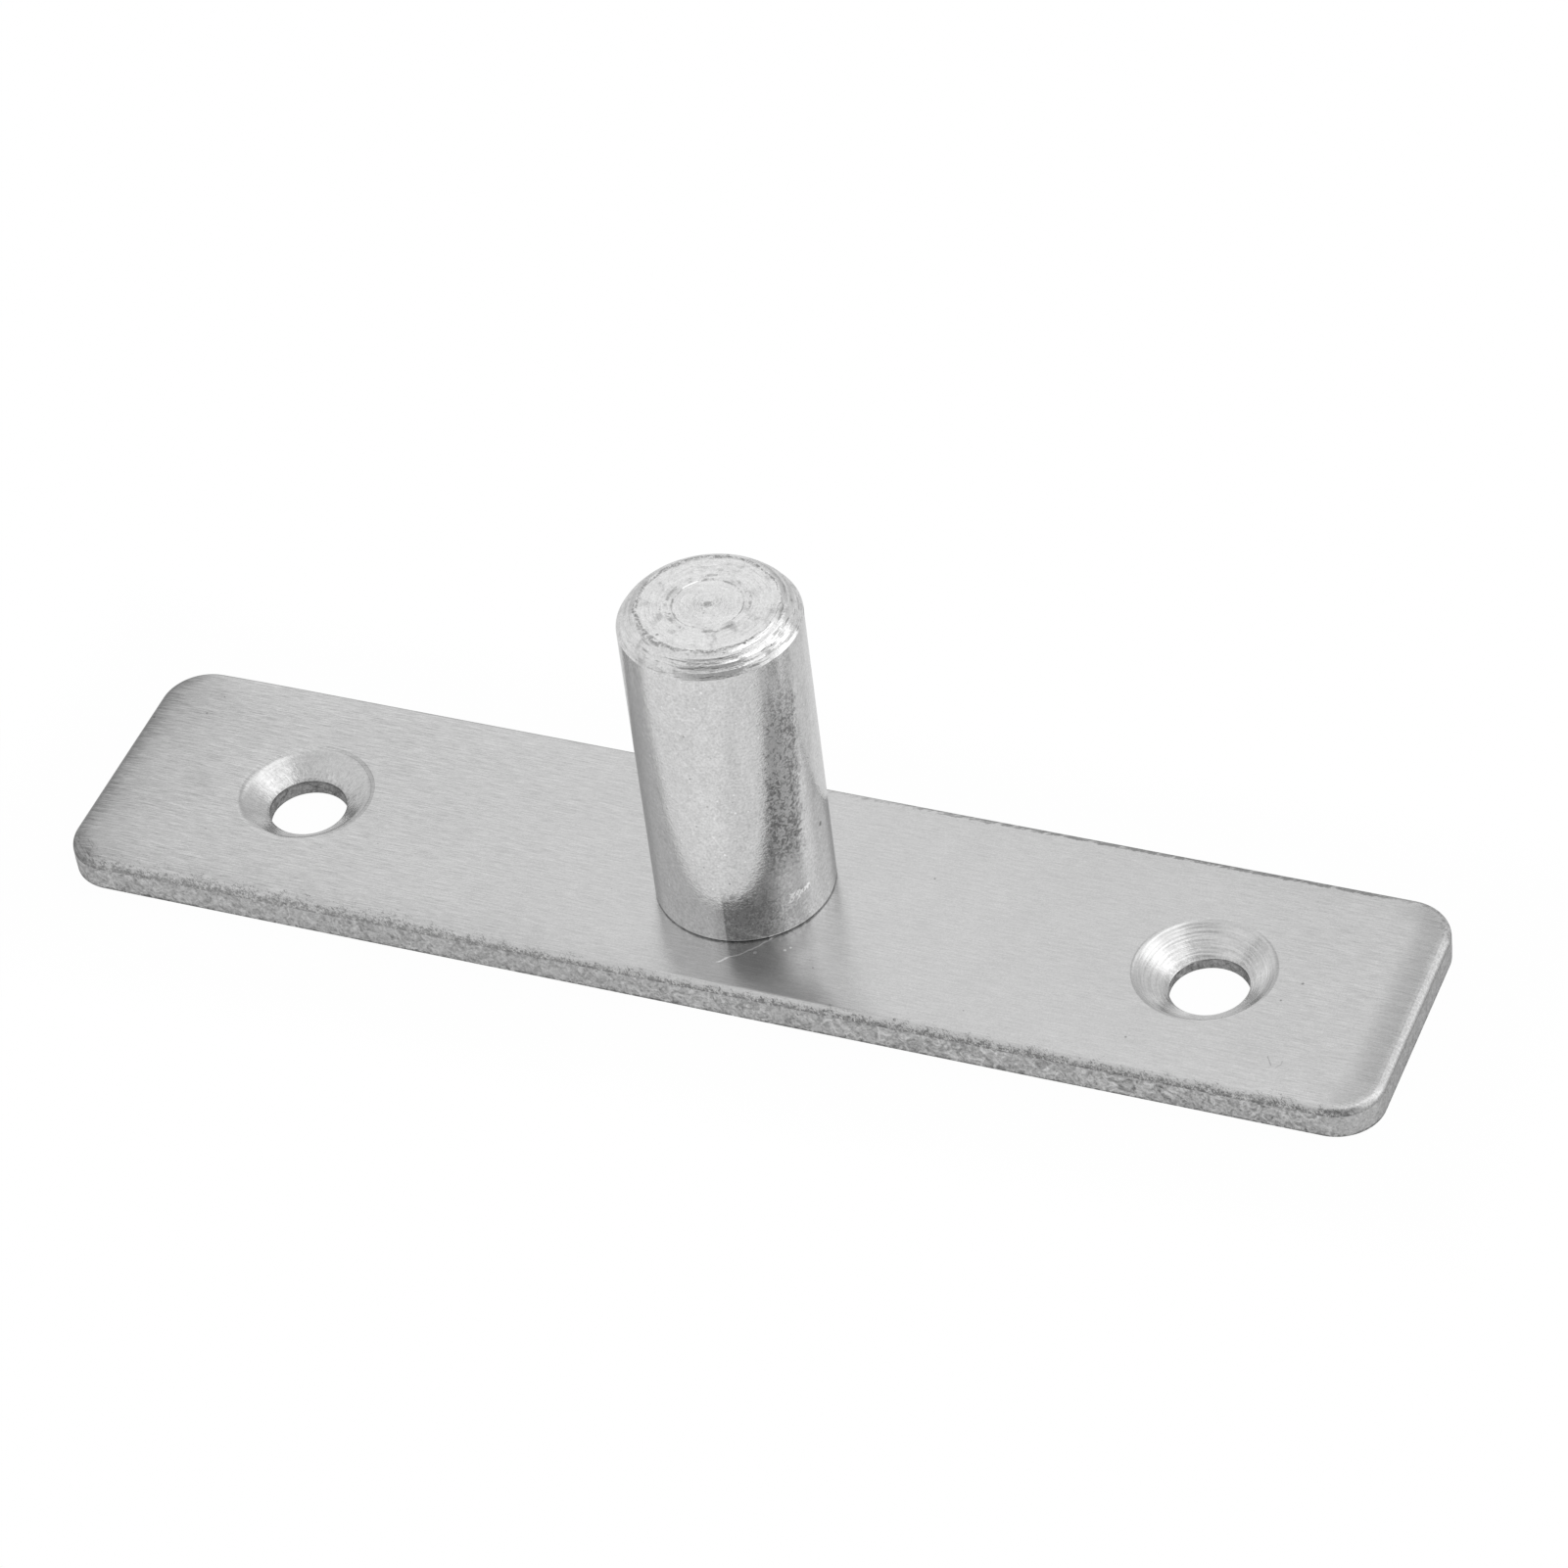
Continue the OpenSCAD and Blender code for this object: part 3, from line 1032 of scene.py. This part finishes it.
def zincEndFinish(settings):
    # crown, faced end and recess
    material, tree, place = newFinish("zincEnd")
    x, y, z = split(tree, place)
    radius = lengthOf(tree, x, y)
    facing = pin["facing"] / mm
    rings = useGroup(tree, turningMarks, position=place, pitch=0.2, sweep=2.4)
    patches = patchy(tree, place, 1.4, 1.0, 3.0)
    fine = patchy(tree, place, 0.18, 0.2, 2.0)
    onCrown = ramp(tree, radius, 5.8, 6.0)
    inRecess = ramp(tree, radius, facing - 0.1, facing + 0.1, 1, 0)
    rough = blend(tree, onCrown, settings["roughness"], settings["crownRoughness"])
    grey = combine(
        tree, settings["grey"], (rings, settings["ringContrast"]), (patches, 0.05), (fine, 0.08))
    # duller smudges between the recess and the crown
    smudges = patchy(tree, place, 1.5, 0.4, 4.0)
    smudges = ramp(tree, smudges, 0.0, 1.0)
    smudges = times(tree, smudges, ramp(tree, inRecess, 0, 1, 1, 0.15))
    grey = darken(tree, grey, smudges, settings["smudgeGrey"])
    wander = noise(tree, place, 0.7, 3, 0.6)
    # a broken line of dirt where the faced end meets the crown, thick in places
    lineRadius = scaled(tree, wander, 0.9, settings["dirtRing"] - 0.45)
    off = gap(tree, radius, lineRadius)
    thick = ramp(tree, noise(tree, place, 0.28, 2, 0.6), 0.42, 0.58, 0.05, 0.34, "LINEAR")
    onRing = ramp(tree, calc(tree, "DIVIDE", off, thick), 0.2, 1.2, 1, 0)
    grit = ramp(tree, noise(tree, place, 3.0, 3, 0.75, 0.4), 0.34, 0.6)
    grey = darken(tree, grey, times(tree, onRing, grit), settings["dirtGrey"])
    # broken arcs of it outside the recess and in its corner
    for out, width, level, left in settings["arcs"]:
        lineRadius = scaled(tree, wander, 0.5, facing + out - 0.25)
        off = gap(tree, radius, lineRadius)
        onStep = ramp(tree, off, 0.03, width, 1, 0)
        broken = ramp(tree, noise(tree, place, 0.8, 3, 0.75, 0.4), level, level + 0.1)
        grey = darken(tree, grey, times(tree, onStep, broken), left)
    pip = ramp(tree, plus(tree, radius, times(tree, fine, 0.12)), 0.2, 0.5, 1, 0)
    grey = darken(tree, grey, pip, settings["pipGrey"])
    specks = speckled(tree, place, 0.9, 0.13, 0.28)
    grey = darken(tree, grey, specks, settings["speckGrey"])
    # dark grooves torn along the crown's cones, few on the left of it; their darkness is partly
    # painted shade, set by direction
    torn = join(tree, times(tree, x, 0.55), times(tree, y, 0.55), times(tree, z, 7.0))
    torn = noise(tree, torn, 1, 3, 0.7, 0.2)
    onRight = ramp(tree, minus(tree, x, y), -4.0, 5.0, 0.15, 1)
    torn = times(tree, ramp(tree, torn, 0.52, 0.66), times(tree, onCrown, onRight))
    grey = darken(tree, grey, torn, settings["grooveShadeGrey"])
    grey = calc(tree, "MINIMUM", calc(tree, "MAXIMUM", grey, 0.1), 0.95)
    rough = combine(tree, rough, (smudges, 0.08), (patches, 0.015))
    height = combine(
        tree, times(tree, rings, 0.6), (fine, 0.25), (patches, 0.3), (torn, -1.2))
    return finishMetal(material, grey, rough, height, 0.008, 0.85)


def addFinishes(piece, finishes, choose):
    # choose tells, from a face's centre and normal, which of the finishes it takes
    names = list(finishes)
    for name in names:
        piece.data.materials.append(finishes[name])
    for face in piece.data.polygons:
        face.material_index = names.index(choose(face.center, face.normal))


def plateZone(centre, normal):
    for i, name in ((0, "leftCone"), (1, "rightCone")):
        away = Vector((centre.x - hole["spacing"] * (i - 0.5), centre.y, 0)).length
        if away < hole["mouth"][i] + 1.3 * mm:
            if abs(normal.z) < 0.1:
                return "bore"
            if 0 < normal.z < 0.9999:
                return name
    if Vector((centre.x, centre.y, 0)).length < pin["radius"]:
        if normal.z < 0.5 and centre.z > 0:
            return "bore"
    if normal.z > 0.02:
        strip = plate["roll"] + plate["sagWidth"]
        inside = min(plate["length"] / 2 - abs(centre.x), plate["width"] / 2 - abs(centre.y))
        return "face" if inside > strip else "edge"
    if normal.z < -0.5:
        return "back"
    return "wall"


def pinZone(centre, normal):
    crownFoot = pin["top"] - pin["crownHeight"]
    if centre.z > crownFoot:
        return "end"
    if centre.z < pin["headSpread"]:
        return "head"
    return "wall"


addFinishes(platePiece, {
    "face": sheetFinish("sheetFace", faceFinish, wornAndShaded=True),
    "edge": sheetFinish("sheetEdge", faceFinish, wornAndShaded=True, frayedAndShaded=True),
    "back": sheetFinish("sheetBack", faceFinish),
    "wall": shearedFinish(wallFinish),
    "leftCone": countersinkFinish("leftCountersink", 0, coneFinish, coneFinish["left"]),
    "rightCone": countersinkFinish("rightCountersink", 1, coneFinish, coneFinish["right"]),
    "bore": boreFinish(shadedTornBore),
}, plateZone)
addFinishes(pinPiece, {
    "wall": zincWallFinish("zincWall", zincFinish),
    "end": zincEndFinish(endFinish),
    "head": zincWallFinish("peenedHead", dict(zincFinish, **peenedHead)),
}, pinZone)
print("finishes made")


# Floor, light and camera

studio = {
    "floorSize": 4.0,
    "floorGap": 0.01 * mm,       # left under the part
    "floorGrey": 0.85,
    "floorSeen": (0.975, 1.0),   # share of plain white that the camera sees in it, near and far
    "shadowEnds": (6, 14),       # millimetres from the plate where near turns to far
    "floorMirrored": 0.4,        # the same share in the floor that shows in the metal
    "openingInset": 0.1,         # millimetres from the plate's outline to the floor's opening
    "room": 0.86,
    # soft boxes, gaps and dark flags: (degrees, brightness) round the part, from the camera's
    # side to its right, for the lower walls and for the slope above them
    "walls": (
        (-180, 1.03), (-174, 1.03), (-168, 0.64), (-148, 0.68), (-139, 0.90), (-50, 0.88),
        (-32, 0.50), (-18, 0.41), (33, 0.41), (41, 1.0), (74, 1.1), (81, 1.6), (104, 1.6),
        (112, 0.80), (145, 0.72), (151, 0.62), (166, 0.60), (173, 1.03), (180, 1.03)),
    "slope": (
        (-180, 1.03), (-162, 1.03), (-150, 0.86), (28, 0.86), (40, 1.6), (101, 1.6),
        (113, 0.86), (150, 0.86), (162, 1.03), (180, 1.03)),
    "slopeFoot": (50, 60),       # degrees above the floor where the slope takes over
    "slopeTop": (76, 86),
    # a soft box behind the part's right end: brightness, and where it starts and ends
    "rearBox": 1.25,
    "rearBoxFrom": (106, 114),
    "rearBoxTo": (142, 150),
    "rearBoxFoot": (31, 39),
    "horizon": (-4, 6),
    "cameraAzimuth": 26.35,
    "cameraElevation": 42.0,
    "cameraRoll": 7.56,
    "cameraDistance": 0.561011,
    "cameraAim": (-1.185 * mm, 11.66 * mm, 3.0 * mm),
    "lens": 154.66,
    "sensor": 36,
}


def makeFloor():
    deselectAll()
    bpy.ops.mesh.primitive_plane_add(
        size=studio["floorSize"], location=(0, 0, -studio["floorGap"]))
    bpy.ops.object.transform_apply(location=True, rotation=False, scale=False)
    floor = nameActive("studioFloor")
    material = bpy.data.materials.new("palePaper")
    material.use_nodes = True
    tree = material.node_tree
    tree.nodes.clear()
    path = put(tree, "ShaderNodeLightPath")
    place = useGroup(tree, millimetres)
    x, y, _ = split(tree, place)
    offCentre = calc(tree, "ABSOLUTE", x)
    away = calc(
        tree, "MAXIMUM", minus(tree, offCentre, plate["length"] / 2 / mm),
        minus(tree, calc(tree, "ABSOLUTE", y), plate["width"] / 2 / mm))
    shown = ramp(tree, away, *studio["shadowEnds"], *studio["floorSeen"])
    seen = times(tree, path.outputs["Is Camera Ray"], shown)
    mirrored = times(tree, path.outputs["Is Glossy Ray"], studio["floorMirrored"])
    paper = put(tree, "ShaderNodeBsdfDiffuse", {"Color": (studio["floorGrey"],) * 3 + (1,)})
    white = put(tree, "ShaderNodeEmission", {"Color": (1, 1, 1, 1), "Strength": 1.0})
    mix = put(tree, "ShaderNodeMixShader", {
        0: calc(tree, "MAXIMUM", seen, mirrored), 1: paper.outputs[0], 2: white.outputs[0]})
    # open under the plate, but not under its bores, so that its back shows from below
    opening = calc(tree, "GREATER_THAN", useGroup(tree, fromEdge, position=place),
                   studio["openingInset"])
    fromBore = lengthOf(tree, minus(tree, offCentre, hole["spacing"] / 2 / mm), y)
    besideBore = calc(tree, "GREATER_THAN", fromBore, hole["bore"] / mm)
    opening = times(tree, opening, besideBore)
    clear = put(tree, "ShaderNodeBsdfTransparent")
    mix = put(tree, "ShaderNodeMixShader", {0: opening, 1: mix.outputs[0], 2: clear.outputs[0]})
    put(tree, "ShaderNodeOutputMaterial", {"Surface": mix.outputs[0]})
    floor.data.materials.append(material)


def lightBand(tree, around, stops):
    # brightness by direction, from the stops given in degrees
    share = scaled(tree, around, 1 / 360, 0.5)
    band = put(tree, "ShaderNodeValToRGB", {"Fac": share})
    elements = band.color_ramp.elements
    for degrees, brightness in stops[1:-1]:
        elements.new(degrees / 360 + 0.5)
    for element, (degrees, brightness) in zip(elements, stops):
        element.color = (brightness, brightness, brightness, 1)
    return band.outputs["Color"]


def makeWorld():
    world = bpy.data.worlds.new("studio")
    bpy.context.scene.world = world
    world.use_nodes = True
    tree = world.node_tree
    tree.nodes.clear()
    direction = put(tree, "ShaderNodeTexCoord").outputs["Generated"]
    x, y, z = split(tree, direction)
    # degrees round the part, counted from the camera's side to its right, and above the floor
    around = minus(tree, calc(tree, "DEGREES", calc(tree, "ARCTAN2", y, x)),
                  studio["cameraAzimuth"] - 90)
    around = calc(tree, "WRAP", around, 180, -180)
    above = calc(tree, "DEGREES", calc(tree, "ARCSINE", z))
    walls = lightBand(tree, around, studio["walls"])
    slope = lightBand(tree, around, studio["slope"])
    rearBox = times(tree, ramp(tree, around, *studio["rearBoxFrom"], 0, studio["rearBox"]),
                    ramp(tree, around, *studio["rearBoxTo"], 1, 0))
    rearBox = times(tree, rearBox, ramp(tree, above, *studio["rearBoxFoot"]))
    walls = calc(tree, "MAXIMUM", walls, rearBox)
    light = blend(tree, ramp(tree, above, *studio["slopeFoot"]), walls, slope)
    light = blend(tree, ramp(tree, above, *studio["slopeTop"]), light, studio["room"])
    light = blend(tree, ramp(tree, above, *studio["horizon"], 1, 0), light, studio["room"])
    path = put(tree, "ShaderNodeLightPath")
    room = put(tree, "ShaderNodeBackground", {"Color": light})
    white = put(tree, "ShaderNodeBackground", {"Color": (1, 1, 1, 1), "Strength": 1.0})
    mix = put(tree, "ShaderNodeMixShader", {
        0: path.outputs["Is Camera Ray"], 1: room.outputs[0], 2: white.outputs[0]})
    put(tree, "ShaderNodeOutputWorld", {"Surface": mix.outputs[0]})


def makeCamera():
    turn, lift = radians(studio["cameraAzimuth"]), radians(studio["cameraElevation"])
    back = Vector((sin(turn) * cos(lift), -cos(turn) * cos(lift), sin(lift)))
    data = bpy.data.cameras.new("camera")
    data.lens = studio["lens"]
    data.sensor_width = studio["sensor"]
    data.clip_start = 0.01
    camera = bpy.data.objects.new("camera", data)
    bpy.context.collection.objects.link(camera)
    camera.location = Vector(studio["cameraAim"]) + back * studio["cameraDistance"]
    look = (-back).to_track_quat("-Z", "Y").to_matrix()
    roll = Matrix.Rotation(radians(-studio["cameraRoll"]), 3, "Z")
    camera.rotation_euler = (look @ roll).to_euler()
    bpy.context.scene.camera = camera


makeFloor()
makeWorld()
makeCamera()
bpy.context.scene.view_settings.view_transform = "Standard"
print("studio made")
